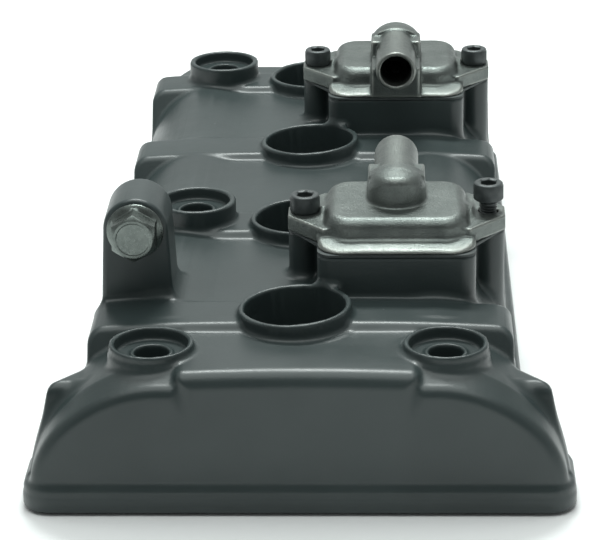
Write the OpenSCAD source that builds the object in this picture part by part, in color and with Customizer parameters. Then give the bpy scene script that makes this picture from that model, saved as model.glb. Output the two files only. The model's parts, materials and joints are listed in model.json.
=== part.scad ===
// Camshaft cover of a four-cylinder twin-cam motorcycle engine, with two air valves on top.
// X runs across the engine, Y along the camshafts with the cam chain end at -Y, Z is up.
// The origin is on the underside of the gasket, in the middle of the cover.

/* [Cover] */
// Distance between neighbouring spark plug holes
bore_pitch = 84; // [78:1:90]
// Front face of the flange to the middle of the first plug hole
chain_end = 47; // [46:1:52]
// Middle of the last plug hole to the end of the flange
far_end = 36; // [34:1:42]
// Half of the flange width along the body
flange_half = 74; // [73.5:0.5:76]
// Half of the flange width at the cam chain end
chain_half = 87.5; // [86:0.5:90]
// Height of the flange
flange_h = 9.5; // [8.5:0.5:11]
// Wall thickness of the casting
wall = 4; // [3.5:0.5:4.5]

/* [Top] */
// Height of the flat valley between the two cam arches
valley_z = 47.2; // [46.6:0.1:47.8]
// Height of the two cam arches
arch_z = 49; // [48.4:0.1:49.2]
// Height of the cross ribs that join the plug holes to the sides
rib_z = 49.5; // [49.4:0.1:50.4]
// Distance of each cam arch from the middle
arch_x = 43.5; // [42:0.5:45]
// Length of a cross rib along the cover
rib_len = 21; // [18:1:24]

/* [Plug holes] */
// Bore of a spark plug tube
plug_d = 32.8; // [31:0.2:34]
// Lean of the plug tubes towards -X, in degrees
plug_lean = 2.8; // [0:0.2:4]
// Height of the middle of a plug tube's rim
plug_rim_z = 52.7; // [51.6:0.1:54]

/* [Bolt bosses] */
// Outer diameter of a cover bolt boss
boss_d = 28; // [26:0.5:29]
// Outer diameter of the two bosses at the cam chain end
boss_front_d = 26.8; // [26:0.2:28]
// Diameter of the recess for the bolt's rubber washer
boss_recess_d = 23.4; // [22:0.2:24]
// Diameter of the bolt hole
boss_hole_d = 11; // [9:0.5:12]
// Height of the two boss rims at the cam chain end
boss_front_z = 49.9; // [49.4:0.1:51.4]
// Height of the other four boss rims
boss_z = 56.4; // [54.4:0.5:57.4]

/* [Air valves] */
// Distance of the air valves' middle from the cover's middle
air_x = 31; // [30:0.5:32]
// Length of a valve housing along the cover
air_len = 56; // [54:1:58]
// Width of a valve housing
air_w = 52; // [50:1:54]
// Height of the valve housings' joint face
air_z = 63.3; // [62:0.1:64.4]
// Distance between the two cap screws of an air valve cover
screw_span = 61.2; // [60.8:0.2:62]
// Outside diameter of the hose pipe
pipe_d = 15; // [14:0.2:15.4]
// Bore of the hose pipe
pipe_bore_d = 11.8; // [11:0.2:12]
// How far the loosened screw stands proud
proud_h = 4; // [0:0.5:5]

/* [Reed valves] */
// Width of a reed petal
petal_w = 16; // [14:1:17]
// Thickness of a reed petal
petal_t = 0.4; // [0.3:0.1:0.5]
// Free length of a reed petal from its clamped end
petal_l = 26; // [24:1:27]

/* [Hidden] */
$fn = 64;

// Lengthwise places
len = chain_end + 3 * bore_pitch + far_end;
front_y = -len / 2;
back_y = len / 2;
plug_y = [for (k = [0:3]) front_y + chain_end + k * bore_pitch];
panel_y = front_y + 1.5;
rib_front = 8;
rib_corner = 5;
rib_fall = 1.4;
rib_flat = 20;
rib_proud = 0.2;
base_z = 0.8;
seal_h = 3.8;
side_half = 71;
arch_half = 68.5;
arch_low_z = 25.4;
flat_half = 28.5;

// Cam chain end
block_half = 38;
sprocket_x = 44;
sprocket_half = 84.5;
sprocket_z = 43.5;
shoulder_z = 37.6;
shoulder_half = 79;
wide_back = 27.5;
taper_len = 12;
edge_r = 6;
end_step = 5;
arch_front = front_y + 10;
chain_back = front_y + 20;
shoulder_front = front_y + 18;
shoulder_back = front_y + 32;
shoulder_foot = front_y + 39;
draft = 6;
top_side = 3;
foot_side = 9;

// Plug tubes, bosses and lug
tube_d = plug_d + 7;
tube_rim_d = plug_d + 4;
rim_step = 7;
plug_x = -1.9;
boss_floor_h = 4.2;
boss_depth = 22;
boss_ring_d = 13.6;
boss_ring_h = 1;
boss_front_x = 46.4;
boss_x = 39.7;
boss_front_dy = -24;
boss_dy = 6;
lug_x = -54;
lug_z = 73;
lug_r = 10.6;
lug_len = 22;
lug_front = 14;
lug_thread_d = 10;
bolt_len = 18;

// Air valves: everything is set out from the middle between two plug holes
air_mid = bore_pitch / 2;
air_y = [plug_y[0] + air_mid, plug_y[2] + air_mid];
gasket_t = 0.8;
plate_z = air_z + gasket_t;
lip_t = 3.7;
ear_t = 5.4;
dome_h = 9.4;
dome_l = 42.6;
dome_w = 47.6;
ear_len = 36;
ear_r = 5.6;
pocket_w = 42;
pocket_l = 46;
seat_t = 3;
pocket_z = 51;
elbow_d = 19;
elbow_h = 20.8;
elbow_step = 3;
elbow_back = 13;
elbow_dy = -0.6;
pipe_z = plate_z + 12.8;
pipe_reach = 36;
pipe_root_d = pipe_d + 0.4;
pipe_root = dome_l / 2 - elbow_dy + 0.2;
port_dx = -15;
port_dy = 15;
port_d = 8;
port_boss_d = 16;
dowel_d = 10.6;
dowel_h = 9;
ring_w = 2;

// Reed parts hang below the reed plate
reed_z = air_z - seat_t;
reed_dx = [-10.5, 10.5];
reed_root = 15;
stopper_t = 1;
stopper_foot = 5;
stopper_slope = 11;
stopper_gap = 0.5;
clamp_gap = 0.4;
foot_t = petal_t + stopper_gap + stopper_t;
seat_gap = 0.05;
window_w = 10;
window_l = 16;
screw_dx = 4.5;

// M6 socket cap screws and the M10 flange bolt
cap_d = 10;
cap_h = 6;
socket_d = 5.8;
socket_depth = 3;
screw_d = 6;
screw_hole_d = 6.6;
screw_len = 20;
bolt_flange_d = 18.6;
bolt_flange_h = 1.4;
bolt_hex_d = 16.17;
bolt_top_d = 13;
bolt_chamfer = 30;
bolt_head_h = 8.6;

function arc(cx, cy, rx, ry, a0, a1, n = 8) =
    [for (i = [0:n]) let (a = a0 + (a1 - a0) * i / n) [cx + rx * cos(a), cy + ry * sin(a)]];

function flip(points) = [for (i = [len(points) - 1:-1:0]) [-points[i][0], points[i][1]]];

// Right half of the body's cross-section, from the foot of the side wall to the middle
function arch_side(inset, foot_z) = concat(
    [[side_half - inset, foot_z]],
    arc(arch_x, arch_low_z, arch_half - arch_x - inset, arch_z - arch_low_z - inset, 0, 90, 10),
    [for (i = [1:4]) let (t = i / 4)
        [arch_x + (flat_half - arch_x) * t,
         arch_z - inset - (arch_z - valley_z) * (1 - cos(180 * t)) / 2]]);

function chain_side(inset, foot_z) = concat(
    [[sprocket_half - inset, foot_z]],
    arc(sprocket_x, flange_h, sprocket_half - sprocket_x - inset,
        sprocket_z - flange_h - inset, 0, 90, 10));

// Outline of the flange, seen from above
function flange_side(inset) = concat(
    arc(chain_half - 9, front_y + 9, 9 - inset, 9 - inset, -90, 0, 4),
    [[chain_half - inset, front_y + wide_back],
     [flange_half - inset, front_y + wide_back + taper_len]],
    arc(flange_half - 12, back_y - 12, 12 - inset, 12 - inset, 0, 90, 4));

module along_y(y0, y1) {
    translate([0, y1, 0]) rotate([90, 0, 0]) linear_extrude(y1 - y0) children();
}

module section(points) {
    polygon(concat(points, flip(points)));
}

module flange_outline(inset) {
    section(flange_side(inset));
}

module tube_place(k) {
    translate([plug_x, plug_y[k], plug_rim_z]) rotate([0, -plug_lean, 0]) children();
}

module front_bosses() {
    for (s = [-1, 1])
        translate([s * boss_front_x, plug_y[0] + boss_front_dy, boss_front_z]) children();
}

module rear_bosses() {
    for (s = [-1, 1], k = [1, 3])
        translate([s * boss_x, plug_y[k] + boss_dy, boss_z]) children();
}

// The rear valve is the front one turned half round
module air_place(v) {
    translate([air_x, air_y[v], 0]) rotate([0, 0, v * 180]) children();
}

module port_places() {
    for (v = [0, 1], s = [-1, 1])
        translate([air_x + port_dx, air_y[v] + s * port_dy, 0]) children();
}

module rounded_rect(w, l, r) {
    square([w - 2 * r, l], center = true);
    square([w, l - 2 * r], center = true);
    for (sx = [-1, 1], sy = [-1, 1])
        translate([sx * (w / 2 - r), sy * (l / 2 - r)]) circle(r);
}

// Cover shell

module shoulder(inset) {
    top = shoulder_z - inset;
    half = shoulder_half - 1.5 * inset;
    y0 = shoulder_front + inset;
    y1 = y0 + top_side - inset / 2;
    y2 = shoulder_back - inset;
    y3 = shoulder_foot - inset;
    hull() {
        translate([0, 0, top - 1]) linear_extrude(1)
            polygon([[arch_x, y0], [half, y0], [half, y1], [side_half - 2 - inset, y2], [arch_x, y2]]);
        translate([0, 0, flange_h]) linear_extrude(1)
            polygon([[arch_x, y0 - draft], [sprocket_half - inset, y0 - draft],
                     [sprocket_half - inset, y0 + foot_side - 1.5 * inset],
                     [side_half - inset, y3], [arch_x, y3]]);
    }
}

// The cam arches dip down to the sprocket arches at the chain end
module arch_dip() {
    hull() {
        along_y(arch_front, arch_front + 1)
            polygon(concat([[block_half, flange_h]],
                           [for (p = arch_side(0.3, flange_h)) if (p[0] > block_half) p],
                           [[block_half, arch_z - 1.5]]));
        along_y(panel_y + edge_r - 1, panel_y + edge_r)
            polygon(concat([[block_half, flange_h]],
                           chain_side(1, flange_h),
                           [[block_half, sprocket_z - 1]]));
    }
}

module outer_form() {
    translate([0, 0, base_z]) linear_extrude(flange_h - base_z) flange_outline(0);
    along_y(arch_front, back_y - end_step) section(arch_side(0, base_z + 1));
    along_y(back_y - end_step - 3, back_y - 2) section(arch_side(3, base_z + 1));
    along_y(panel_y, chain_back) section(chain_side(2, base_z + 1));
    along_y(panel_y + 2, chain_back - 1) section(chain_side(0, base_z + 1));
    chain_block();
    for (s = [0, 1]) mirror([s, 0, 0]) {
        shoulder(0);
        arch_dip();
    }
    for (k = [0:3]) cross_rib(k);
}

// Flat block in the middle of the chain end, with a rounded front top edge
module chain_block() {
    profile = concat([[0, flange_h], [0, valley_z - edge_r]],
                     arc(edge_r, valley_z - edge_r, edge_r, edge_r, 180, 90, 6),
                     [[40, valley_z], [40, flange_h]]);
    translate([-block_half, panel_y, 0]) rotate([90, 0, 90]) linear_extrude(2 * block_half)
        polygon(profile);
}

// The rib is highest in the middle and falls a little to its rounded ends
module cross_rib(k) {
    r = rib_corner;
    end_z = rib_z - rib_fall - r;
    half = concat([[side_half - 1, flange_h]],
                  arc(arch_half - r, end_z, r, r, 0, 80, 6),
                  [[arch_x, arch_z + rib_proud], [rib_flat, rib_z]]);
    along_y(plug_y[k] - rib_front, plug_y[k] - rib_front + rib_len) section(half);
}

module inner_form() {
    along_y(chain_back - 1, back_y - wall - 2) section(arch_side(wall, 0));
    along_y(panel_y + wall, chain_back) section(chain_side(wall, 0));
    translate([-block_half + wall, panel_y + wall, -1])
        cube([2 * (block_half - wall), block_half - wall, valley_z - wall + 1]);
    for (s = [0, 1]) mirror([s, 0, 0]) shoulder(wall);
}

module lug() {
    translate([0, plug_y[0] + lug_front, 0]) {
        translate([lug_x, 0, lug_z]) rotate([-90, 0, 0]) cylinder(r = lug_r, h = lug_len);
        translate([lug_x - lug_r, 0, arch_low_z]) cube([2 * lug_r, lug_len, lug_z - arch_low_z]);
    }
}

module housing(v) {
    air_place(v) {
        translate([0, 0, valley_z - 3]) linear_extrude(air_z - valley_z + 3)
            rounded_rect(air_w, air_len, 5);
        for (s = [-1, 1]) translate([s * screw_span / 2, 0, arch_low_z + 8])
            cylinder(r = ear_r, h = air_z - arch_low_z - 8);
    }
}

module housing_cuts(v) {
    air_place(v) {
        translate([0, 0, reed_z]) linear_extrude(seat_t + 1) rounded_rect(pocket_w + 0.2, pocket_l + 0.2, 3);
        translate([0, 0, pocket_z]) linear_extrude(20) rounded_rect(pocket_w - 4, pocket_l - 4, 3);
        for (s = [-1, 1]) translate([s * screw_span / 2, 0, air_z - 18])
            cylinder(d = screw_d, h = 19);
    }
}

// Washer recess with a raised seat, and the bolt hole
module boss_cut() {
    difference() {
        translate([0, 0, -boss_floor_h]) cylinder(d = boss_recess_d, h = boss_floor_h + 1);
        translate([0, 0, -boss_floor_h - 1]) cylinder(d = boss_ring_d, h = boss_ring_h + 1);
    }
    translate([0, 0, -40]) cylinder(d = boss_hole_d, h = 40);
}

module cover_shell() {
    color("#3b403e") difference() {
        union() {
            difference() {
                union() {
                    outer_form();
                    lug();
                    for (v = [0, 1]) housing(v);
                }
                inner_form();
            }
            for (k = [0:3]) intersection() {
                tube_place(k) {
                    translate([0, 0, -80]) cylinder(d = tube_rim_d, h = 80);
                    translate([0, 0, -80]) cylinder(d = tube_d, h = 80 - rim_step);
                }
                translate([-40, plug_y[k] - 40, base_z]) cube([80, 80, 80]);
            }
            front_bosses() translate([0, 0, -boss_depth]) cylinder(d = boss_front_d, h = boss_depth);
            rear_bosses() translate([0, 0, -boss_depth]) cylinder(d = boss_d, h = boss_depth);
            port_places() translate([0, 0, base_z]) cylinder(d = port_boss_d, h = valley_z - 2);
        }
        for (k = [0:3]) tube_place(k) translate([0, 0, -80]) cylinder(d = plug_d, h = 90);
        front_bosses() boss_cut();
        rear_bosses() boss_cut();
        for (v = [0, 1]) housing_cuts(v);
        port_places() {
            cylinder(d = port_d, h = 70);
            cylinder(d = dowel_d, h = dowel_h);
            cylinder(d = dowel_d + 2 * ring_w, h = base_z + 2);
        }
        translate([lug_x, plug_y[0] + lug_front - 1, lug_z]) rotate([-90, 0, 0])
            cylinder(d = lug_thread_d, h = lug_len + 2);
        translate([0, 0, -1]) linear_extrude(seal_h + 1.2) difference() {
            flange_outline(3.4);
            flange_outline(6.2);
        }
        for (k = [0:3]) seal_ring(k, 0.05, seal_h + 0.2);
    }
}

// Seals

module seal_ring(k, gap, h) {
    translate([plug_x + tan(plug_lean) * plug_rim_z, plug_y[k], 0]) difference() {
        translate([0, 0, -gap]) cylinder(d = plug_d + 5 + 2 * gap, h = h + gap);
        translate([0, 0, -1]) cylinder(d = plug_d + 2 - 2 * gap, h = h + 2);
    }
}

module perimeter_gasket() {
    color("#222423") linear_extrude(seal_h) difference() {
        flange_outline(3.5);
        flange_outline(6.1);
    }
}

module plug_seal(k) {
    color("#222423") seal_ring(k, 0, seal_h);
}

// Air valve covers

module ear_outline(grow = 0) {
    polygon([[-air_w / 2, -ear_len / 2], [air_w / 2, -ear_len / 2],
             [screw_span / 2 + ear_r + grow, -3], [screw_span / 2 + ear_r + grow, 3],
             [air_w / 2, ear_len / 2], [-air_w / 2, ear_len / 2],
             [-screw_span / 2 - ear_r - grow, 3], [-screw_span / 2 - ear_r - grow, -3]]);
}

module air_cover(v) {
    color("#8b908d") air_place(v) difference() {
        union() {
            translate([0, 0, plate_z]) linear_extrude(lip_t) rounded_rect(air_w, air_len, 5);
            translate([0, 0, plate_z]) linear_extrude(ear_t) ear_outline();
            translate([0, 0, plate_z]) linear_extrude(dome_h) rounded_rect(dome_w, dome_l, 7);
            translate([0, elbow_dy, plate_z]) cylinder(d = elbow_d, h = elbow_h);
            translate([-elbow_d / 2, elbow_dy, plate_z]) cube([elbow_d, elbow_back + 3, elbow_h - elbow_step]);
            translate([0, elbow_dy, pipe_z]) rotate([-90, 0, 0]) {
                cylinder(d = pipe_d, h = pipe_reach);
                cylinder(d = pipe_root_d, h = pipe_root);
            }
        }
        translate([0, 0, plate_z - 1]) linear_extrude(dome_h - 1.5) rounded_rect(dome_w - 6, dome_l - 6, 5);
        translate([0, elbow_dy, plate_z]) cylinder(d = pipe_bore_d, h = pipe_z - plate_z);
        translate([0, elbow_dy, pipe_z]) sphere(d = pipe_bore_d);
        translate([0, elbow_dy, pipe_z]) rotate([-90, 0, 0])
            cylinder(d = pipe_bore_d, h = pipe_reach + 1);
        for (s = [-1, 1]) translate([s * screw_span / 2, 0, plate_z - 1])
            cylinder(d = screw_hole_d, h = ear_t + 2);
    }
}

module air_gasket(v) {
    color("#2b2b29") air_place(v) translate([0, 0, air_z]) linear_extrude(gasket_t) difference() {
        union() {
            rounded_rect(air_w, air_len, 5);
            ear_outline(-0.6);
        }
        rounded_rect(dome_w - 9, dome_l - 4, 5);
        for (s = [-1, 1]) translate([s * screw_span / 2, 0]) circle(d = screw_hole_d);
    }
}

module cap_screw(v, s, lift) {
    color("#2a2c2b") air_place(v) translate([s * screw_span / 2, 0, plate_z + ear_t + lift])
        difference() {
            union() {
                cylinder(d = cap_d, h = cap_h);
                translate([0, 0, -screw_len]) cylinder(d = screw_d, h = screw_len + 1);
            }
            translate([0, 0, cap_h - socket_depth])
                cylinder(d = socket_d, h = socket_depth + 1, $fn = 6);
        }
}

module flange_bolt() {
    color("#a7aaa6") translate([lug_x, plug_y[0] + lug_front, lug_z]) rotate([90, 0, 0]) {
        cylinder(d = bolt_flange_d, h = bolt_flange_h);
        cylinder(d1 = bolt_flange_d, d2 = bolt_hex_d - 0.4, h = bolt_flange_h + 1.2);
        intersection() {
            cylinder(d = bolt_hex_d, h = bolt_head_h, $fn = 6);
            cylinder(d1 = bolt_top_d + 2 * bolt_head_h / tan(bolt_chamfer), d2 = bolt_top_d, h = bolt_head_h);
        }
        translate([0, 0, -bolt_len]) cylinder(d = lug_thread_d, h = bolt_len);
    }
}

// Reed valves

module reed_side(k) {
    v = floor((k - 1) / 2);
    s = (k - 1) % 2;
    air_place(v) translate([reed_dx[s], -reed_root, reed_z]) children();
}

module reed_plate(v) {
    color("#9c9f9a") air_place(v) difference() {
        translate([0, 0, reed_z]) linear_extrude(seat_t) rounded_rect(pocket_w, pocket_l, 3);
        for (dx = reed_dx) {
            translate([dx, -reed_root + 8 + window_l / 2, reed_z - 1]) linear_extrude(seat_t + 2)
                rounded_rect(window_w, window_l, 4);
            for (s = [-1, 1]) translate([dx + s * screw_dx, -reed_root - 3, reed_z - 1])
                cylinder(d = 3, h = seat_t + 2);
        }
    }
}

// The free leaf covers the window; its clamped end is part of the stopper's foot
module reed_petal(k) {
    color("#b9bbb7") reed_side(k) translate([0, petal_l / 2, -seat_gap - petal_t])
        linear_extrude(petal_t) rounded_rect(petal_w, petal_l, 4);
}

module reed_stopper(k) {
    tip_y = (petal_l - 2) * cos(stopper_slope);
    tip_z = -petal_t - stopper_gap - (petal_l - 2) * sin(stopper_slope);
    color("#8f928e") reed_side(k) difference() {
        translate([-petal_w / 2, 0, 0]) rotate([90, 0, 90]) linear_extrude(petal_w)
            polygon([[-clamp_gap - stopper_foot, 0], [-clamp_gap, 0],
                     [-clamp_gap, -petal_t - stopper_gap], [tip_y, tip_z],
                     [tip_y, tip_z - stopper_t], [-clamp_gap, -foot_t], [-clamp_gap - stopper_foot, -foot_t]]);
        for (s = [-1, 1]) translate([s * screw_dx, -3, -4]) cylinder(d = 3, h = 6);
    }
}

module reed_screws(k) {
    color("#b4b6b2") reed_side(k) for (s = [-1, 1]) translate([s * screw_dx, -3, -foot_t]) {
        translate([0, 0, -1.6]) cylinder(d = 4.6, h = 1.6);
        cylinder(d = 3, h = foot_t + seat_t - 0.4);
    }
}

// Air port dowels and their rings

module air_dowel(k) {
    v = floor((k - 1) / 2);
    s = (k - 1) % 2 * 2 - 1;
    color("#a2a5a1") translate([air_x + port_dx, air_y[v] + s * port_dy, 0]) difference() {
        cylinder(d = dowel_d, h = dowel_h);
        translate([0, 0, -1]) cylinder(d = port_d, h = dowel_h + 2);
    }
}

module dowel_ring(k) {
    v = floor((k - 1) / 2);
    s = (k - 1) % 2 * 2 - 1;
    color("#222423") translate([air_x + port_dx, air_y[v] + s * port_dy, ring_w / 2 + 0.2])
        rotate_extrude() translate([dowel_d / 2 + ring_w / 2, 0]) circle(d = ring_w, $fn = 24);
}

cover_shell();
perimeter_gasket();
plug_seal(0);  // plug_seal_1
plug_seal(1);  // plug_seal_2
plug_seal(2);  // plug_seal_3
plug_seal(3);  // plug_seal_4
air_cover(0);  // front_air_cover
air_cover(1);  // rear_air_cover
air_gasket(0);  // front_air_gasket
air_gasket(1);  // rear_air_gasket
cap_screw(0, -1, 0);  // front_left_cap_screw
cap_screw(0, 1, proud_h);  // front_right_cap_screw
cap_screw(1, 1, 0);  // rear_left_cap_screw
cap_screw(1, -1, 0);  // rear_right_cap_screw
flange_bolt();
reed_plate(0);  // front_reed_plate
reed_plate(1);  // rear_reed_plate
reed_petal(1);  // reed_petal_1
reed_petal(2);  // reed_petal_2
reed_petal(3);  // reed_petal_3
reed_petal(4);  // reed_petal_4
reed_stopper(1);  // reed_stopper_1
reed_stopper(2);  // reed_stopper_2
reed_stopper(3);  // reed_stopper_3
reed_stopper(4);  // reed_stopper_4
reed_screws(1);  // reed_screws_1
reed_screws(2);  // reed_screws_2
reed_screws(3);  // reed_screws_3
reed_screws(4);  // reed_screws_4
air_dowel(1);  // air_dowel_1
air_dowel(2);  // air_dowel_2
air_dowel(3);  // air_dowel_3
air_dowel(4);  // air_dowel_4
dowel_ring(1);  // dowel_ring_1
dowel_ring(2);  // dowel_ring_2
dowel_ring(3);  // dowel_ring_3
dowel_ring(4);  // dowel_ring_4
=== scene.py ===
"""Looks of a camshaft cover with two air valves.

The cast pieces are meshed from distance fields, so that every corner has the fillet of a casting.
The screws are turned as rings of points. Fields and sections are in millimetres, and pieces in metres.
"""
import json
import math
import bpy
import numpy as np
import openvdb
from mathutils import Matrix, Vector


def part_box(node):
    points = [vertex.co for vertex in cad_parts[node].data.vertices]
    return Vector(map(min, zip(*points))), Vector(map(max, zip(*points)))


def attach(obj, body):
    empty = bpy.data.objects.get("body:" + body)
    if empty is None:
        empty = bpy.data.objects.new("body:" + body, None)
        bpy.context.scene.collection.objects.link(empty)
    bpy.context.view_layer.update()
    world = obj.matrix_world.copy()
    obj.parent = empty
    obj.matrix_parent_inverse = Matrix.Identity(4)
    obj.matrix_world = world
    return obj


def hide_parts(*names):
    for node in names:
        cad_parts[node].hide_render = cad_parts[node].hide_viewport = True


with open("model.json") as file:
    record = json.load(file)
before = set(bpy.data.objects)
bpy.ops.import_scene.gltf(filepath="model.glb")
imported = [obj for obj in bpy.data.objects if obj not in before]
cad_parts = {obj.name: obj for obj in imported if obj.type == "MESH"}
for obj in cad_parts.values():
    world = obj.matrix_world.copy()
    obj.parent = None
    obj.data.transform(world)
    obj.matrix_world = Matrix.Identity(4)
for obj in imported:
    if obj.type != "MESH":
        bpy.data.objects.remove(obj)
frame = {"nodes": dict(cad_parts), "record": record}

MM = 0.001
FAR = 40.0
BELOW, ABOVE = -9.0, 80.0   # ends of the upright holes' cutters, past every face that they cut
BODY = "cover"
MARGIN = 9.0

# ---------------------------------------------------------------- places read from the frame

record = frame["record"]
mounts = {m["name"]: m for m in record["mounts"]}


def corners(node):
    """Lowest and highest corner of a CAD node, in millimetres."""
    low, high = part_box(node)
    return np.array(low) / MM, np.array(high) / MM


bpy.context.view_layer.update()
shell_low, shell_high = corners("cover_shell")
gasket_low, gasket_high = corners("front_air_gasket")
bolt_low, bolt_high = corners("flange_bolt")

front_y, back_y = shell_low[1], shell_high[1]
base_z = shell_low[2]
chain_half = shell_high[0]
hole_y = [mounts[f"plug_hole_{k}"]["pos_m"][1] / MM for k in (1, 2, 3, 4)]
air_x = (gasket_low[0] + gasket_high[0]) / 2
air_y = [(gasket_low[1] + gasket_high[1]) / 2,
         sum(corners("rear_air_gasket")[k][1] for k in (0, 1)) / 2]
plate_z = gasket_high[2]
air_z = gasket_low[2]

# Cover sections
wall = 4.0
valley_z = 47.2
arch_x, arch_z = 43.5, 49.0
arch_half, arch_low_z = 68.5, 25.4
flat_half = 28.5
foot_half = 71.0
flange_half = 74.0
flange_h = 9.5
chain_x, chain_z, chain_side = 44.0, 43.3, 84.5
chain_rise = 3.3
chain_power = 1.8
chain_len = 21
block_half, block_len = 38.0, 46
front_corner_r, back_corner_r = 9, 12
panel_y = front_y + 1.5
end_y = back_y - 5.0
edge_r, side_edge_r = 5.5, 4.2
crown = 0.8
rib_z, rib_half, rib_corner, rib_fall = 49.5, 68.5, 5.0, 1.4
rib_front, rib_back = -8.0, 13.0
shoulder_z, shoulder_half = 37.6, 79.0

# Plug tubes, bolt bosses, lug and air housings
lean = math.radians(2.8)
plug_x, plug_rim_z, plug_r, tube_wall, rim_wall = -1.9, 52.7, 16.4, 3.5, 2.0
recess_r, boss_hole_r = 11.7, 5.5
recess_h, ring_r, ring_h = 4.2, 6.8, 1.0
boss_depth = 22.0
bosses = [(s * 46.4, hole_y[0] - 24, 49.9, 13.4) for s in (-1, 1)]
bosses += [(s * 39.7, hole_y[k] + 6, 56.4, 14.0) for s in (-1, 1) for k in (1, 3)]
lug_x, lug_z = (bolt_low[0] + bolt_high[0]) / 2, (bolt_low[2] + bolt_high[2]) / 2
lug_r, lug_len, lug_y = 10.6, 22.0, hole_y[0] + 14
house_w, house_l, house_r = 52.0, 56.0, 5.0
ear_dx, ear_r = 30.6, 5.6
port_dx, port_dy, port_r, column_r = -15.0, 15.0, 4.0, 8.0
lug_thread_r = 5.0

# Seats and holes for the gasket, seals, dowels, reed plates and ear screws
groove_in, groove_half, seat_top = 4.8, 1.4, 4.0
seal_out, seal_half = 1.75, 0.8
dowel_seat_r, dowel_seat_h = 5.3, 9
ring_seat_r, ring_seat_h = 7.3, 2.8
reed_half_x, reed_half_y, reed_t = 21.1, 23.1, 3
pocket_half_x, pocket_half_y, pocket_z, pocket_r = 19, 21, 51, 3
ear_screw_r, ear_screw_depth = 3.0, 18


# ---------------------------------------------------------------- distances

def join(a, b, r=0.0):
    """Union of two distances, with a fillet of radius r in the corner between them."""
    if np.ndim(r) == 0 and r == 0:
        return np.minimum(a, b)
    rounded = np.hypot(np.maximum(r - a, 0), np.maximum(r - b, 0))
    return np.maximum(r, np.minimum(a, b)) - rounded


def meet(a, b, r=0.0):
    """Intersection of two distances, with the edge between them rounded to radius r."""
    return -join(-a, -b, r)


def blend(a, b, t):
    return a + (b - a) * t


def smooth(t):
    t = np.clip(t, 0, 1)
    return t * t * (3 - 2 * t)


def arc(cx, cy, rx, ry, a0, a1, n=12, power=2.0):
    """Points on a superellipse; a power of 2 is an ellipse."""
    points = []
    for i in range(n + 1):
        a = math.radians(a0 + (a1 - a0) * i / n)
        c, s = math.cos(a), math.sin(a)
        points.append((cx + rx * math.copysign(abs(c) ** (2 / power), c),
                       cy + ry * math.copysign(abs(s) ** (2 / power), s)))
    return points


def outline(points, u, v):
    """Signed distance to a closed outline, negative inside it."""
    nearest = np.inf
    inside = False
    for (u0, v0), (u1, v1) in zip(points, points[1:] + points[:1]):
        du, dv = u1 - u0, v1 - v0
        t = np.clip(((u - u0) * du + (v - v0) * dv) / max(du * du + dv * dv, 1e-9), 0, 1)
        nearest = np.minimum(nearest, np.hypot(u - u0 - t * du, v - v0 - t * dv))
        if dv:
            inside = inside ^ (((v0 > v) != (v1 > v)) & (u < u0 + (v - v0) * du / dv))
    return np.where(inside, -nearest, nearest).astype(np.float32)


def rectangle(u, v, half_u, half_v, r):
    """Signed distance to a rectangle with corners of radius r."""
    qu, qv = np.abs(u) - half_u + r, np.abs(v) - half_v + r
    return np.hypot(np.maximum(qu, 0), np.maximum(qv, 0)) + np.minimum(np.maximum(qu, qv), 0) - r


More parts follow.
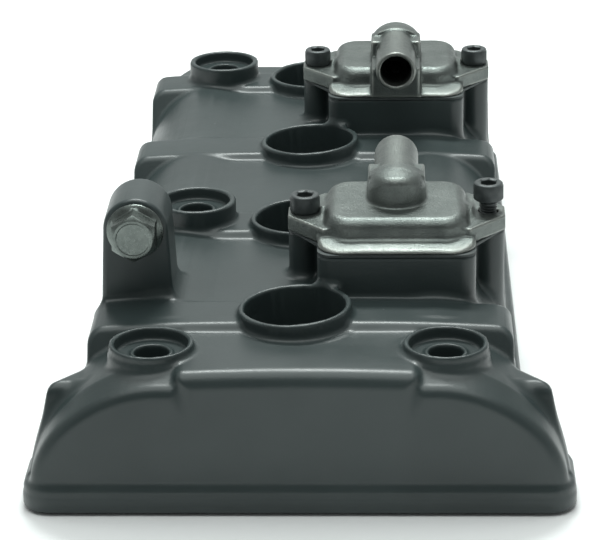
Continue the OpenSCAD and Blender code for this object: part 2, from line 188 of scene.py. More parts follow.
class Field:
    """Signed distance in millimetres on a regular grid, negative inside the solid."""

    def __init__(self, low, high, step):
        self.step = step
        self.low = np.array(low, np.float32)
        counts = [int(math.ceil((b - a) / step)) + 1 for a, b in zip(low, high)]
        self.axes = [np.arange(n, dtype=np.float32) * step + a for n, a in zip(counts, low)]
        self.d = np.full(counts, FAR, np.float32)

    def part(self, low, high):
        """The cells in a box with a margin round it, and their coordinates."""
        cut = tuple(slice(*np.searchsorted(axis, (a - MARGIN, b + MARGIN)))
                    for axis, a, b in zip(self.axes, low, high))
        x, y, z = (axis[c] for axis, c in zip(self.axes, cut))
        return cut, x[:, None, None], y[None, :, None], z[None, None, :]

    def whole(self):
        return self.part(self.low, [axis[-1] for axis in self.axes])

    def add(self, shape, low, high, fillet=0.0):
        cut, x, y, z = self.part(low, high)
        self.d[cut] = join(self.d[cut], shape(x, y, z), fillet)

    def remove(self, shape, low, high, edge=0.0):
        cut, x, y, z = self.part(low, high)
        self.d[cut] = meet(self.d[cut], -shape(x, y, z), edge)

    def sample(self, points):
        """The field between its grid points, by linear interpolation."""
        at = (points - self.low) / self.step
        at = np.clip(at, 0, np.array(self.d.shape) - 1.001)
        cell = at.astype(int)
        f = (at - cell).astype(np.float32)
        total = np.zeros(len(points), np.float32)
        for corner in np.ndindex(2, 2, 2):
            weight = np.prod(np.where(corner, f, 1 - f), axis=1)
            total += weight * self.d[tuple((cell + corner).T)]
        return total

    def normals(self, points):
        away = 0.8 * self.step * np.eye(3, dtype=np.float32)
        slope = np.stack([self.sample(points + a) - self.sample(points - a) for a in away], 1)
        return slope / np.maximum(np.linalg.norm(slope, axis=1, keepdims=True), 1e-6)

    def sharpness(self, points, reach=1.6):
        """How convex the surface is at a point: above zero on edges, below zero in corners."""
        away = reach * np.eye(3, dtype=np.float32)
        return sum(self.sample(points + a) + self.sample(points - a) for a in away) / (6 * reach)

    def mesh(self, name, most_faces, node=None):
        """The surface as a mesh object in metres, with the field's own normals."""
        grid = openvdb.FloatGrid(3.0)
        grid.copyFromArray(np.clip(self.d / self.step, -3, 3))
        points, quads = grid.convertToQuads(0.0)
        data = bpy.data.meshes.new(name)
        data.from_pydata(points * self.step + self.low, [], quads)
        piece = bpy.data.objects.new(name, data)
        bpy.context.scene.collection.objects.link(piece)
        if 2 * len(quads) > most_faces:
            thin = piece.modifiers.new("thin", "DECIMATE")
            thin.ratio = most_faces / (2 * len(quads))
            scene_state = bpy.context.evaluated_depsgraph_get()
            piece.data = bpy.data.meshes.new_from_object(piece.evaluated_get(scene_state))
            piece.modifiers.clear()
            piece.data.name = name
        data = piece.data
        co = np.zeros(len(data.vertices) * 3, np.float32)
        data.vertices.foreach_get("co", co)
        co = co.reshape(-1, 3)
        edge = data.attributes.new("edge", "FLOAT", "POINT")
        edge.data.foreach_set("value", self.sharpness(co))
        data.shade_smooth()
        data.normals_split_custom_set_from_vertices(self.normals(co).tolist())
        data.transform(Matrix.Scale(MM, 4))
        if node:
            keep_inside(piece, node)
        return piece


def keep_inside(piece, node):
    """Bring points that a coarse grid puts just outside a CAD node's box back onto it."""
    low, high = (np.array(corner, np.float32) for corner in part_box(node))
    co = np.zeros(len(piece.data.vertices) * 3, np.float32)
    piece.data.vertices.foreach_get("co", co)
    piece.data.vertices.foreach_set("co", np.clip(co.reshape(-1, 3), low, high).ravel())
    piece.data.update()


# ---------------------------------------------------------------- cover shell

def arch_section():
    """Half of the body's section behind the chain end, with one of its two cam arches."""
    crest = [(arch_x + (flat_half - arch_x) * i / 8,
              arch_z - (arch_z - valley_z) * (1 - math.cos(math.pi * i / 8)) / 2) for i in range(1, 9)]
    return ([(-60, -30), (foot_half + 2, -30), (foot_half, 0)]
            + arc(arch_x, arch_low_z, arch_half - arch_x, arch_z - arch_low_z, 0, 90, 20)
            + crest + [(-60, valley_z)])


def chain_section(crest):
    """Half of the sprocket arch's section at the chain end, beside the raised block."""
    return ([(-60, -30), (chain_side, -30)]
            + arc(chain_x, flange_h, chain_side - chain_x, crest - flange_h, 0, 90, 20, chain_power)
            + [(block_half - 1, crest), (block_half - 5, crest - 8), (-60, crest - 8)])


def flange_plan():
    """Half of the flange's outline, seen from above."""
    return ([(-60, front_y)]
            + arc(chain_half - front_corner_r, front_y + front_corner_r,
                  front_corner_r, front_corner_r, -90, 0, 8)
            + [(chain_half, front_y + 24), (chain_half - 0.6, front_y + 26.5)]
            + [(chain_half - 2.3, front_y + 29), (flange_half, front_y + 40)]
            + arc(flange_half - back_corner_r, back_y - back_corner_r,
                  back_corner_r, back_corner_r, 0, 90, 8)
            + [(-60, back_y)])


def body(x, y, z):
    """The hollow form: cam arches, a wider and lower arch at the chain end, and a raised block there."""
    side = np.abs(x)
    arch = outline(arch_section(), side, z)
    low, high = (outline(chain_section(crest), side, z) for crest in (chain_z, chain_z + chain_rise))
    chain = blend(low, high, np.clip((y - front_y - 5) / 7, 0, 1))
    narrow = meet(chain, side - arch_half + 0.5, 2.0)
    form = blend(arch, narrow, smooth((front_y + block_len - y) / 5))
    form = np.minimum(form, meet(chain, y - front_y - chain_len, 2.0))
    bulge = crown * np.clip(1 - (x / (block_half - 2)) ** 2, 0, 1) * smooth((front_y + 30 - y) / 22)
    block = meet(side - block_half, z - valley_z - bulge, 2.5)
    form = join(form, np.maximum(block, y - front_y - block_len), 1.6)
    front_r = side_edge_r + (edge_r - side_edge_r) * smooth((block_half + 3 - side) / 6)
    return meet(meet(form, panel_y - y, front_r), y - end_y, 5.0)


def shoulder(x, y, z):
    """Drafted block beside the chain end, whose top corner runs out to the wide flange."""
    back = hole_y[0] - rib_front
    top = [(40, front_y + 18), (shoulder_half, front_y + 18), (shoulder_half, front_y + 21),
           (arch_half - 0.5, front_y + 34.5), (arch_half - 0.5, back), (40, back)]
    foot = [(40, front_y + 12), (chain_side + 0.5, front_y + 12), (chain_side + 0.5, front_y + 27),
            (foot_half, front_y + 39), (foot_half, back), (40, back)]
    t = (shoulder_z - z) / (shoulder_z - flange_h)
    plan = blend(outline(top, np.abs(x), y), outline(foot, np.abs(x), y), t)
    return meet(plan, z - shoulder_z, 3.5)


def rib(y0):
    """Raised band across the cover at a plug hole, with sloping front and back faces."""
    def shape(x, y, z):
        top = z - rib_z + rib_fall * (np.maximum(np.abs(x) - 20, 0) / 43) ** 2
        band = meet(np.abs(x) - rib_half, top, rib_corner)
        slope, rise = 0.86, 0.51
        front = (y0 + rib_front - y) * slope + top * rise
        back = (y - y0 - rib_back) * slope + top * rise
        return meet(meet(band, front, 1.5), back, 2.5)
    return shape


def leaning(x, z):
    """Distance across and height along a plug tube's axis, both from its rim."""
    dx, dz = x - plug_x, z - plug_rim_z
    return dx * math.cos(lean) + dz * math.sin(lean), dz * math.cos(lean) - dx * math.sin(lean)


def tube(y0, r, top=0.0, edge=0.5):
    def shape(x, y, z):
        across, up = leaning(x, z)
        return meet(np.hypot(across, y - y0) - r, up - top, edge)
    return shape


def post(x0, y0, r, z0, z1, edge=0.0):
    """Upright round post."""
    def shape(x, y, z):
        return meet(np.hypot(x - x0, y - y0) - r, np.maximum(z0 - z, z - z1), edge)
    return shape


def lug(x, y, z):
    """Upright lug with a round head, which widens to its foot."""
    dx, dz = x - lug_x, z - lug_z
    head = np.hypot(dx, dz) - lug_r
    slab = np.maximum(np.abs(dx) - lug_r + 0.05 * dz, dz)
    ends = np.maximum(lug_y - y, y - lug_y - lug_len)
    return meet(np.minimum(head, slab), ends, 1.2)


def housing(y0):
    """Raised box under an air valve cover, with a post under each ear."""
    def shape(x, y, z):
        dx, dy = x - air_x, y - y0
        box = rectangle(dx, dy, house_w / 2, house_l / 2, house_r)
        posts = np.hypot(np.abs(dx) - ear_dx, dy) - ear_r
        return meet(join(box, posts, 2.0), z - air_z, 0.3)
    return shape


def boss_recess(x0, y0, z0):
    """Room for the bolt's washer, with a raised seat round the bolt hole."""
    def shape(x, y, z):
        r = np.hypot(x - x0, y - y0)
        seat = meet(r - ring_r, z - z0 + recess_h - ring_h, 0.5)
        return meet(meet(r - recess_r, z0 - recess_h - z, 0.8), -seat, 0.5)
    return shape


def add_outside(field):
    cut, x, y, z = field.whole()
    field.d[cut] = body(x, y, z)
    field.add(shoulder, (-88, front_y + 12, 0), (88, front_y + 45, shoulder_z), 3.0)
    for y0 in hole_y:
        field.add(rib(y0), (-70, y0 - 12, 0), (70, y0 + 16, rib_z), 1.3)
    hollow = field.d + wall
    plan = outline(flange_plan(), np.abs(x), y)
    step = 0.35 * smooth((z - 5.2) / 0.9)
    field.d[cut] = join(field.d[cut], meet(plan + step, z - flange_h, 2.0), 1.6)
    for y0 in hole_y:
        field.add(tube(y0, plug_r + rim_wall), (-26, y0 - 22, 30), (22, y0 + 22, 60), 1.8)
    for x0, y0, z0, r in bosses:
        field.add(post(x0, y0, r, 30, z0, 0.5), (x0 - 15, y0 - 15, 30), (x0 + 15, y0 + 15, z0), 1.8)
    field.add(lug, (lug_x - 16, lug_y, 20), (lug_x + 16, lug_y + lug_len, 90), 4.5)
    for y0 in air_y:
        field.add(housing(y0), (air_x - 38, y0 - 29, 20), (air_x + 38, y0 + 29, 68), 3.0)
    return hollow, plan


def ports():
    return [(air_x + port_dx, y0 + s * port_dy) for y0 in air_y for s in (-1, 1)]


def add_inside(field):
    """Plug tubes, bolt posts and air ports that stand inside the hollow."""
    inside_top = rib_z - wall + 0.5
    for y0 in hole_y:
        field.add(tube(y0, plug_r + tube_wall, inside_top - plug_rim_z, 0.0),
                  (-26, y0 - 22, -1), (24, y0 + 22, inside_top), 2.0)
    for x0, y0, z0, r in bosses:
        field.add(post(x0, y0, r, z0 - boss_depth, inside_top), (x0 - 15, y0 - 15, 25),
                  (x0 + 15, y0 + 15, inside_top), 2.0)
    for x0, y0 in ports():
        field.add(post(x0, y0, column_r, -5, inside_top), (x0 - 9, y0 - 9, -1),
                  (x0 + 9, y0 + 9, inside_top), 2.0)


def cut_holes(field, plan):
    cut, x, y, z = field.whole()
    groove = np.maximum(np.abs(plan + groove_in) - groove_half, z - seat_top)
    field.d[cut] = np.maximum(field.d[cut], -groove)
    for y0 in hole_y:
        field.remove(tube(y0, plug_r, FAR), (-22, y0 - 18, -1), (18, y0 + 18, 60), 0.5)
    for x0, y0, z0, _ in bosses:
        near = (x0 - 12, y0 - 12, 20), (x0 + 12, y0 + 12, z0)
        field.remove(boss_recess(x0, y0, z0), *near, 0.4)
        field.remove(post(x0, y0, boss_hole_r, BELOW, ABOVE), *near, 0.7)
    for x0, y0 in ports():
        field.remove(post(x0, y0, port_r, BELOW, ABOVE), (x0 - 5, y0 - 5, -1), (x0 + 5, y0 + 5, 66))
        field.remove(post(x0, y0, dowel_seat_r, BELOW, dowel_seat_h),
                     (x0 - 7, y0 - 7, -1), (x0 + 7, y0 + 7, dowel_seat_h))
        field.remove(post(x0, y0, ring_seat_r, BELOW, ring_seat_h),
                     (x0 - 8, y0 - 8, -1), (x0 + 8, y0 + 8, 3))
    for y0 in air_y:
        def pocket(x, y, z):
            seat = rectangle(x - air_x, y - y0, reed_half_x, reed_half_y, pocket_r)
            seat = np.maximum(seat, air_z - reed_t - z)
            room = rectangle(x - air_x, y - y0, pocket_half_x, pocket_half_y, pocket_r)
            room = np.maximum(room, pocket_z - z)
            return np.minimum(seat, room)
        field.remove(pocket, (air_x - 22, y0 - 24, 50), (air_x + 22, y0 + 24, 66))
        for s in (-1, 1):
            x0 = air_x + s * ear_dx
            field.remove(post(x0, y0, ear_screw_r, air_z - ear_screw_depth, ABOVE),
                         (x0 - 3, y0 - 3, 46), (x0 + 3, y0 + 3, 66))

    def thread_hole(x, y, z):
        return np.hypot(x - lug_x, z - lug_z) - lug_thread_r + 0 * y
    field.remove(thread_hole, (lug_x - 6, lug_y, lug_z - 6), (lug_x + 6, lug_y + lug_len, lug_z + 6), 0.6)

    def seal_seat(x, y, z):
        ring = [np.abs(np.hypot(x - foot_x, y - y0) - plug_r - seal_out) for y0 in hole_y]
        return np.maximum(np.minimum.reduce(ring) - seal_half, z - seat_top)
    foot_x = plug_x + math.tan(lean) * plug_rim_z
    field.remove(seal_seat, (-30, front_y, -1), (25, back_y, 5))


def cover_shell():
    step = 0.8
    field = Field(shell_low - (1.5, 1.5, 2.5), (chain_half + 1.5, back_y + 1.5, lug_z + lug_r + 2), step)
    hollow, plan = add_outside(field)
    field.d = meet(field.d, -hollow, 1.5)
    add_inside(field)
    cut_holes(field, plan)
    cut, x, y, z = field.whole()
    field.d[cut] = meet(field.d[cut], base_z - z, 0.5)
    return field.mesh("shell_casting", 196_000, "cover_shell")


# ---------------------------------------------------------------- air valve covers

lip_t, ear_t, dome_h = 3.7, 5.4, 9.4
dome_w, dome_l, plan_r = 47.6, 42.6, 9.0
ear_len, ear_root, ear_tip, ear_end = 36.0, 24.5, 36.2, 4.5
ear_hole_r = 3.3
elbow_r, elbow_h, elbow_back, elbow_dy = 9.5, 20.8, 13.0, -0.6
elbow_step, ridge_r = 3.0, 14.6
pipe_r, pipe_bore_r, pipe_up, pipe_reach = 7.5, 5.9, 12.8, 36.0
web_w = 18.6   # web that carries the pipe, from the dome to the edge of the lip


def cover_outside(x, y, z):
    """Air cover with its pipe towards +Y, from the middle of its joint face."""
    strip = z - lip_t + 0.24 * (np.abs(y) - ear_len / 2) + 0.004 * np.maximum(np.abs(x) - 10, 0) ** 2
    lip = meet(rectangle(x, y, house_w / 2, house_l / 2, plan_r), strip, 1.2)
    half = ear_len / 2
    ear_plan = [(-ear_root, -half), (ear_root, -half), (ear_tip, -ear_end), (ear_tip, ear_end)]
    ear_plan += [(ear_root, half), (-ear_root, half), (-ear_tip, ear_end), (-ear_tip, -ear_end)]
    ears = meet(outline(ear_plan, x, y), z - ear_t, 0.6)
    dome = meet(rectangle(x, y, dome_w / 2, dome_l / 2, plan_r) + 0.06 * z, z - dome_h, 3.6)
    plate = join(join(lip, ears, 0.6), dome, 1.2)
    dy = y - elbow_dy
    ridge = np.hypot(x, np.maximum(z - elbow_h + ridge_r + 0.12 * np.maximum(-dy, 0), 0)) - ridge_r
    stem = meet(meet(np.hypot(x, np.minimum(dy, 0)) - elbow_r, ridge, 2.4), dy - 5, 0.5)
    back = rectangle(x, dy - elbow_back / 2, elbow_r, elbow_back / 2, 0.8)
    back = meet(back, z - elbow_h + elbow_step, 0.8)
    pipe = meet(np.hypot(x, z - pipe_up) - pipe_r, np.maximum(-dy, dy - pipe_reach), 0.5)
    elbow = join(join(stem, back, 0.8), pipe, 0.6)
    web = meet(rectangle(x, y - house_l / 4, web_w / 2, house_l / 4, 1.0), z - pipe_up + 1.0, 1.0)
    return meet(join(join(plate, web, 1.0), elbow, 0.9), -z, 0.2)


def cover_inside(x, y, z):
    dy = y - elbow_dy
    room = meet(rectangle(x, y, dome_w / 2 - 3, dome_l / 2 - 3, 5), z - dome_h + 2.5, 2.0)
    rise = np.maximum(np.hypot(x, dy) - pipe_bore_r, z - pipe_up)
    turn = np.sqrt(x * x + dy * dy + (z - pipe_up) ** 2) - pipe_bore_r + 0.3
    bore = np.maximum(np.hypot(x, z - pipe_up) - pipe_bore_r, -dy)
    return join(join(room, rise, 1.0), np.minimum(turn, bore), 0.0)


def air_cover_field():
    step = 0.5
    reach = pipe_reach + elbow_dy
    field = Field((-38, -30, -1.5), (38, max(30, reach + 1.5), elbow_h + 1.5), step)
    cut, x, y, z = field.whole()
    field.d[cut] = meet(cover_outside(x, y, z), -cover_inside(x, y, z), 0.5)
    for s in (-1, 1):
        x0 = s * ear_dx
        field.remove(post(x0, 0, ear_hole_r, BELOW, ABOVE), (x0 - 4, -4, -1), (x0 + 4, 4, 6), 0.4)
    return field


def air_covers():
    first = air_cover_field().mesh("front_cover_casting", 90_000)
    first.data.transform(Matrix.Translation(Vector((air_x, air_y[0], plate_z)) * MM))
    keep_inside(first, "front_air_cover")
    second = first.copy()
    second.name = "rear_cover_casting"
    second.data = first.data.copy()
    bpy.context.scene.collection.objects.link(second)
    middle = Vector((air_x, (air_y[0] + air_y[1]) / 2, 0)) * MM
    turn = Matrix.Translation(middle) @ Matrix.Rotation(math.pi, 4, "Z") @ Matrix.Translation(-middle)
    second.data.transform(turn)
    keep_inside(second, "rear_air_cover")
    return first, second


# ---------------------------------------------------------------- screws

cap_head_r, cap_head_h, socket_corner_r = 5.0, 6.0, 2.9
bolt_head_h, bolt_apothem, bolt_chamfer_r = 8.6, 7.0, 6.35
lug_bolt_r = 5.0
SIDES = 96   # points round a screw, a whole number for each side of a hexagon


def hexagon(apothem, n):
    """Radius of a hexagon at n angles, with its corners on points."""
    sector = math.pi / 3
    return [apothem / math.cos((2 * math.pi * i / n) % sector - sector / 2) for i in range(n)]


def turned(name, rings, crease=32):
    """Closed mesh through rings of points, each a list of radii and a list of heights."""
    n = len(rings[0][0])
    points = []
    for radii, heights in rings:
        for i, (r, h) in enumerate(zip(radii, heights)):
            a = 2 * math.pi * i / n
            points.append((r * math.cos(a), r * math.sin(a), h))
    faces = [tuple(reversed(range(n)))]
    for k in range(len(rings) - 1):
        for i in range(n):
            j = (i + 1) % n
            faces.append((k * n + i, k * n + j, (k + 1) * n + j, (k + 1) * n + i))
    last = (len(rings) - 1) * n
    faces.append(tuple(range(last, last + n)))
    data = bpy.data.meshes.new(name)
    data.from_pydata([Vector(p) * MM for p in points], [], faces)
    piece = bpy.data.objects.new(name, data)
    bpy.context.scene.collection.objects.link(piece)
    data.shade_smooth()
    data.set_sharp_from_angle(angle=math.radians(crease))
    return piece


def ring(n, r, h):
    return [r] * n if not isinstance(r, list) else r, [h] * n if not isinstance(h, list) else h


def thread(n, r, pitch, depth, low, high, steps=8):
    """Rings of a shank from low to high with a helical thread."""
    rings = []
    count = int((high - low) / pitch * steps)
    for k in range(count + 1):
        h = low + (high - low) * k / count
        fade = min(1.0, (high - h) / pitch, (h - low) / pitch)
        radii = []
        for i in range(n):
            phase = (h / pitch + i / n) % 1.0
            cut = depth * max(0.0, 1 - abs(2 * phase - 1) * 1.25)
            radii.append(r - cut * fade - 0.25 * (1 - min(1.0, (h - low) / 0.6)))
        rings.append((radii, [h] * n))
    return rings


def cap_screw(name):
    """Socket cap screw, knurled, with the underside of its head at zero."""
    n, head_r, head_h = SIDES, cap_head_r, cap_head_h
    socket = hexagon(socket_corner_r * math.cos(math.pi / 6), n)
    knurl = [head_r - (0.16 if i % 2 else 0.0) for i in range(n)]
    valley = [head_r - 0.18] * n
    rings = thread(n, 3.0, 1.0, 0.5, -20.0, -1.0)
    rings += [ring(n, 2.7, -0.6), ring(n, 2.9, 0.0), ring(n, head_r - 0.45, 0.0)]
    rings += [ring(n, valley, 0.3), ring(n, knurl, 0.5), ring(n, knurl, head_h - 1.1)]
    rings += [ring(n, valley, head_h - 0.85), ring(n, head_r - 0.25, head_h - 0.35)]
    rings += [ring(n, head_r - 0.6, head_h - 0.05), ring(n, head_r - 0.9, head_h)]
    rings += [ring(n, 3.25, head_h), ring(n, [min(3.05, r + 0.1) for r in socket], head_h - 0.3)]
    rings += [ring(n, socket, head_h - 0.4), ring(n, socket, head_h - 2.9)]
    rings += [ring(n, 2.2, head_h - 2.95), ring(n, 0.9, head_h - 3.0), ring(n, 0.05, head_h - 3.0)]
    return turned(name, rings)


def flange_bolt(name):
    """Flange bolt with its seat at zero and a chamfered hexagon head."""
    n, chamfer_r, top = SIDES, bolt_chamfer_r, bolt_head_h
    hexagon_r = hexagon(bolt_apothem, n)
    slant = [top - max(0.0, r - chamfer_r) * 0.6 for r in hexagon_r]
    rings = thread(n, lug_bolt_r, 1.25, 0.65, -18.0, -1.2)
    rings += [ring(n, 4.6, -0.6), ring(n, 4.9, 0.0), ring(n, 8.9, 0.0), ring(n, 9.2, 0.2)]
    rings += [ring(n, 9.3, 0.6), ring(n, 9.2, 1.0), ring(n, 8.9, 1.25), ring(n, 8.7, 1.4), ring(n, 8.4, 1.6)]
    rings += [ring(n, [r + 0.25 for r in hexagon_r], 2.15), ring(n, [r + 0.05 for r in hexagon_r], 2.5)]
    rings += [ring(n, hexagon_r, 2.8), ring(n, hexagon_r, [h - 0.1 for h in slant])]
    rings += [ring(n, [r - 0.08 for r in hexagon_r], slant), ring(n, chamfer_r + 0.06, top - 0.02)]
    rings += [ring(n, chamfer_r - 0.1, top), ring(n, 5.6, top), ring(n, 5.3, top - 0.16)]
    rings += [ring(n, 1.5, top - 0.2), ring(n, 0.05, top - 0.2)]
    return turned(name, rings, 22)


def place_screws():
    pieces = {}
    for place in ("front_left", "front_right", "rear_left", "rear_right"):
        node = f"{place}_cap_screw"
        low, high = corners(node)
        piece = cap_screw(f"{place}_screw")
        turn = Matrix.Rotation(0.4 + 1.1 * len(pieces), 4, "Z")
        seat = Vector(((low[0] + high[0]) / 2, (low[1] + high[1]) / 2, high[2] - cap_head_h)) * MM
        piece.data.transform(Matrix.Translation(seat) @ turn)
        pieces[node] = piece
    bolt = flange_bolt("lug_bolt")
    seat = Vector((lug_x, bolt_low[1] + bolt_head_h, lug_z)) * MM
    bolt.data.transform(Matrix.Translation(seat) @ Matrix.Rotation(math.pi / 2, 4, "X")
                        @ Matrix.Rotation(math.pi / 6, 4, "Z"))
    pieces["flange_bolt"] = bolt
    return pieces


# ---------------------------------------------------------------- materials

class Shader:
    """A Principled material and short ways to add nodes to it."""

    def __init__(self, name, colour, rough, metal=0.0, **settings):
        self.material = bpy.data.materials.new(name)
        self.material.use_nodes = True
        self.tree = self.material.node_tree
        self.shader = self.tree.nodes["Principled BSDF"]
        self.set("Base Color", (*colour, 1))
        self.set("Roughness", rough)
        self.set("Metallic", metal)
        for socket, value in settings.items():
            self.set(socket.replace("_", " "), value)
        self.place = self.node("ShaderNodeTexCoord").outputs["Object"]

    def set(self, socket, value):
        self.shader.inputs[socket].default_value = value

    def node(self, kind, **settings):
        made = self.tree.nodes.new(kind)
        for name, value in settings.items():
            if name in made.inputs:
                made.inputs[name].default_value = value
            else:
                setattr(made, name, value)
        return made

    def link(self, source, target):
        self.tree.links.new(source, target)

    def noise(self, size, detail=3.0, stretch=(1, 1, 1)):
        """Noise whose features are about size millimetres across."""
        space = self.node("ShaderNodeMapping")
        space.inputs["Scale"].default_value = stretch
        self.link(self.place, space.inputs["Vector"])
        made = self.node("ShaderNodeTexNoise", Scale=1 / (size * MM), Detail=detail)
        self.link(space.outputs["Vector"], made.inputs["Vector"])
        return made.outputs["Fac"]

    def ramp(self, source, low, high, to_low=0.0, to_high=1.0):
        made = self.node("ShaderNodeMapRange")
        for socket, value in zip(("From Min", "From Max", "To Min", "To Max"), (low, high, to_low, to_high)):
            made.inputs[socket].default_value = value
        self.link(source, made.inputs["Value"])
        return made.outputs["Result"]

    def times(self, a, b):
        made = self.node("ShaderNodeMath", operation="MULTIPLY")
        self.link(a, made.inputs[0])
        if isinstance(b, float):
            made.inputs[1].default_value = b
        else:
            self.link(b, made.inputs[1])
        return made.outputs[0]

    def mix(self, factor, a, b):
        made = self.node("ShaderNodeMix", data_type="RGBA")
        self.link(factor, made.inputs["Factor"])
        for socket, colour in ((6, a), (7, b)):
            if isinstance(colour, tuple):
                made.inputs[socket].default_value = (*colour, 1)
            else:
                self.link(colour, made.inputs[socket])
        return made.outputs[2]

    def bump(self, source, height, under=None):
        """Bump whose full range is height millimetres."""
        made = self.node("ShaderNodeBump", Strength=1.0, Distance=height * MM)
        self.link(source, made.inputs["Height"])
        if under is not None:
            self.link(under, made.inputs["Normal"])
        return made.outputs["Normal"]

    def edge(self, low, high):
        """One where a casting's edge is sharp, zero on its flats."""
        made = self.node("ShaderNodeAttribute", attribute_name="edge")
        return self.ramp(made.outputs["Fac"], low, high)

    def finish(self, colour=None, rough=None, normal=None):
        for socket, source in (("Base Color", colour), ("Roughness", rough), ("Normal", normal)):
            if source is not None:
                self.link(source, self.shader.inputs[socket])
        return self.material


def black_casting():
    """Satin black paint over a fine sand-cast skin, with dust in it; convex edges are lighter, partly worn
    paint and partly a painted highlight.
    """
    m = Shader("satin_black_paint", (0.03, 0.035, 0.033), 0.42)
    grain = m.noise(0.7, 4)
    skin = m.noise(6, 2)
    patches = m.noise(45, 3)
    dark, light = (0.025, 0.036, 0.036), (0.033, 0.046, 0.046)
    worn_and_sheen_colour, dust = (0.07, 0.087, 0.087), (0.13, 0.15, 0.15)
    colour = m.mix(m.ramp(patches, 0.35, 0.65), dark, light)
    # Lighter convex edges, patchy: partly worn paint, partly a painted highlight along the edges.
    edge_wear_and_sheen = m.times(m.edge(0.10, 0.32), m.ramp(m.noise(9, 4), 0.45, 0.7))
    colour = m.mix(m.times(edge_wear_and_sheen, 0.55), colour, worn_and_sheen_colour)
    specks = m.node("ShaderNodeTexVoronoi", Scale=1 / (20 * MM))
    m.link(m.place, specks.inputs["Vector"])
    colour = m.mix(m.times(m.ramp(specks.outputs["Distance"], 0.022, 0.014), 0.8), colour, dust)
    rough = m.ramp(m.noise(12, 4), 0.3, 0.7, 0.32, 0.39)
    normal = m.bump(grain, 0.035, m.bump(skin, 0.05))
    return m.finish(colour, rough, normal)


def raw_casting():
    """Bare die-cast aluminium: grainy, dull, with darker patches; convex edges are lighter, partly worn
    bright metal and partly a painted highlight.
    """
    m = Shader("bare_cast_aluminium", (0.2, 0.21, 0.2), 0.4, 0.9)
    grain = m.noise(0.55, 5)
    colour = m.mix(m.ramp(m.noise(7, 5), 0.35, 0.68), (0.122, 0.138, 0.131), (0.172, 0.19, 0.18))
    colour = m.mix(m.times(m.ramp(grain, 0.42, 0.3), 0.4), colour, (0.075, 0.083, 0.079))
    # Lighter convex edges: partly worn bright metal, partly a painted highlight along every edge.
    colour = m.mix(m.times(m.edge(0.1, 0.35), 0.5), colour, (0.42, 0.43, 0.4))
    rough = m.ramp(m.noise(1.5, 4), 0.3, 0.7, 0.34, 0.46)
    return m.finish(colour, rough, m.bump(grain, 0.17, m.bump(m.noise(4, 3), 0.12)))


def plain_metal(name, dark, light, rough, grain_mm=0.4, stretch=(1, 1, 1), height=0.01, metal=1.0):
    """Metal with a fine directional grain and slightly uneven colour."""
    m = Shader(name, dark, rough, metal)
    grain = m.noise(grain_mm, 4, stretch)
    colour = m.mix(m.ramp(m.noise(3, 4), 0.35, 0.65), dark, light)
    spread = m.ramp(grain, 0.3, 0.7, rough - 0.07, rough + 0.08)
    return m.finish(colour, spread, m.bump(grain, height))


def soft_black(name, dark, light, rough, grain_mm):
    """Rubber or coated gasket sheet."""
    m = Shader(name, dark, rough)
    grain = m.noise(grain_mm, 4)
    colour = m.mix(m.ramp(m.noise(5, 3), 0.35, 0.65), dark, light)
    return m.finish(colour, m.ramp(grain, 0.3, 0.7, rough - 0.06, rough + 0.08), m.bump(grain, 0.03))


def floor_material():
    m = Shader("pale_floor", (0.95, 0.95, 0.95), 0.9)
    return m.material


finishes = {
    "black_casting": black_casting(),
    "raw_casting": raw_casting(),
    "machined_aluminium": plain_metal("machined_aluminium", (0.55, 0.56, 0.55), (0.68, 0.69, 0.68), 0.32,
                                      0.5, (0.2, 6, 1)),
    "black_steel": plain_metal("black_oxide_steel", (0.045, 0.053, 0.054), (0.07, 0.08, 0.081), 0.38,
                               0.5, (1, 1, 1), 0.012, 0.3),
    "zinc_steel": plain_metal("zinc_plated_steel", (0.15, 0.17, 0.16), (0.185, 0.208, 0.195), 0.3,
                              0.8, (1, 1, 1), 0.003),
    "spring_steel": plain_metal("rolled_stainless_strip", (0.5, 0.51, 0.5), (0.62, 0.63, 0.62), 0.25,
                                0.4, (8, 0.2, 1), 0.004),
    "seal_rubber": soft_black("moulded_rubber", (0.018, 0.019, 0.02), (0.03, 0.031, 0.032), 0.6, 0.5),
    "gasket_paper": soft_black("coated_gasket_sheet", (0.04, 0.05, 0.05), (0.055, 0.066, 0.066), 0.6, 0.3),
}


def dress(piece, slot):
    piece.data.materials.clear()
    piece.data.materials.append(finishes[slot])


# ---------------------------------------------------------------- assembly

def stand_in(piece, node, slot):
    """A detailed piece shown instead of a CAD node."""
    dress(piece, slot)
    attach(piece, BODY)
    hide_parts(node)


slots = {part["node"]: part["material_slot"] for part in record["subparts"]}
replaced = {"cover_shell": cover_shell()}
replaced["front_air_cover"], replaced["rear_air_cover"] = air_covers()
replaced.update(place_screws())
for node, piece in replaced.items():
    stand_in(piece, node, slots[node])
for node, thing in frame["nodes"].items():
    if node not in replaced:
        dress(thing, slots[node])


# ---------------------------------------------------------------- floor, lights and camera

def floor():
    half = 6.0
    data = bpy.data.meshes.new("floor")
    points = [(-half, -half, 0), (half, -half, 0), (half, half, 0), (-half, half, 0)]
    data.from_pydata(points, [], [(0, 1, 2, 3)])
    thing = bpy.data.objects.new("floor", data)
    bpy.context.scene.collection.objects.link(thing)
    data.materials.append(floor_material())


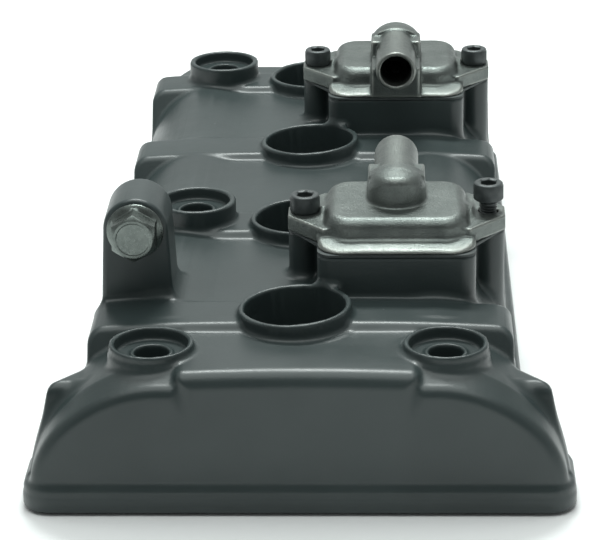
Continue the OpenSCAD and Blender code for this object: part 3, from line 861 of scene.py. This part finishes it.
def softbox(name, towards, distance, width, depth, watts, aim=(0, 0, 0.03)):
    """Rectangular area light in a given direction from the object."""
    light = bpy.data.lights.new(name, "AREA")
    light.shape = "RECTANGLE"
    light.size = width
    light.size_y = depth
    light.energy = watts
    light.color = (0.94, 1.0, 0.98)
    thing = bpy.data.objects.new(name, light)
    way = Vector(towards).normalized()
    thing.location = Vector(aim) + way * distance
    thing.rotation_euler = way.to_track_quat("Z", "Y").to_euler()
    bpy.context.scene.collection.objects.link(thing)


def studio():
    """White backdrop behind, a wide overhead box, a brighter one inside it, and a dim room in front."""
    world = bpy.data.worlds.new("studio")
    world.use_nodes = True
    tree = world.node_tree
    light = tree.nodes["Background"].inputs
    light["Color"].default_value = (0.95, 1.0, 0.99, 1)
    way = tree.nodes.new("ShaderNodeSeparateXYZ")
    tree.links.new(tree.nodes.new("ShaderNodeTexCoord").outputs["Generated"], way.inputs[0])
    room = tree.nodes.new("ShaderNodeMapRange")
    for socket, value in zip(("From Min", "From Max", "To Min", "To Max"), (-0.85, -0.1, 0.16, 0.46)):
        room.inputs[socket].default_value = value
    tree.links.new(way.outputs["Y"], room.inputs["Value"])
    tree.links.new(room.outputs["Result"], light["Strength"])
    bpy.context.scene.world = world
    softbox("overhead", (0, 0.45, 0.89), 1.1, 0.5, 0.18, 9.5)
    softbox("ceiling", (0, -0.12, 1), 1.5, 1.7, 1.3, 14.0)
    softbox("backdrop", (0, 1, 0.42), 2.6, 5.0, 2.2, 8.0)


def camera():
    """Long lens, looking down on the chain end from a little to the right."""
    pitch, yaw, roll = (math.radians(a) for a in (21.375, 2.179, -0.943))
    ahead = Vector((-math.sin(yaw) * math.cos(pitch), math.cos(yaw) * math.cos(pitch), -math.sin(pitch)))
    right = Vector((math.cos(yaw), math.sin(yaw), 0))
    up = right.cross(ahead)
    right, up = (right * math.cos(roll) + up * math.sin(roll), up * math.cos(roll) - right * math.sin(roll))
    lens = bpy.data.cameras.new("camera")
    lens.sensor_width = 36.0
    lens.lens = 160.64
    lens.clip_start = 0.05
    thing = bpy.data.objects.new("camera", lens)
    place = Vector((0.0304, -0.9196, 0.3776))
    thing.matrix_world = Matrix.Translation(place) @ Matrix((right, up, -ahead)).transposed().to_4x4()
    bpy.context.scene.collection.objects.link(thing)
    bpy.context.scene.camera = thing


floor()
studio()
camera()
bpy.context.scene.view_settings.view_transform = "Standard"
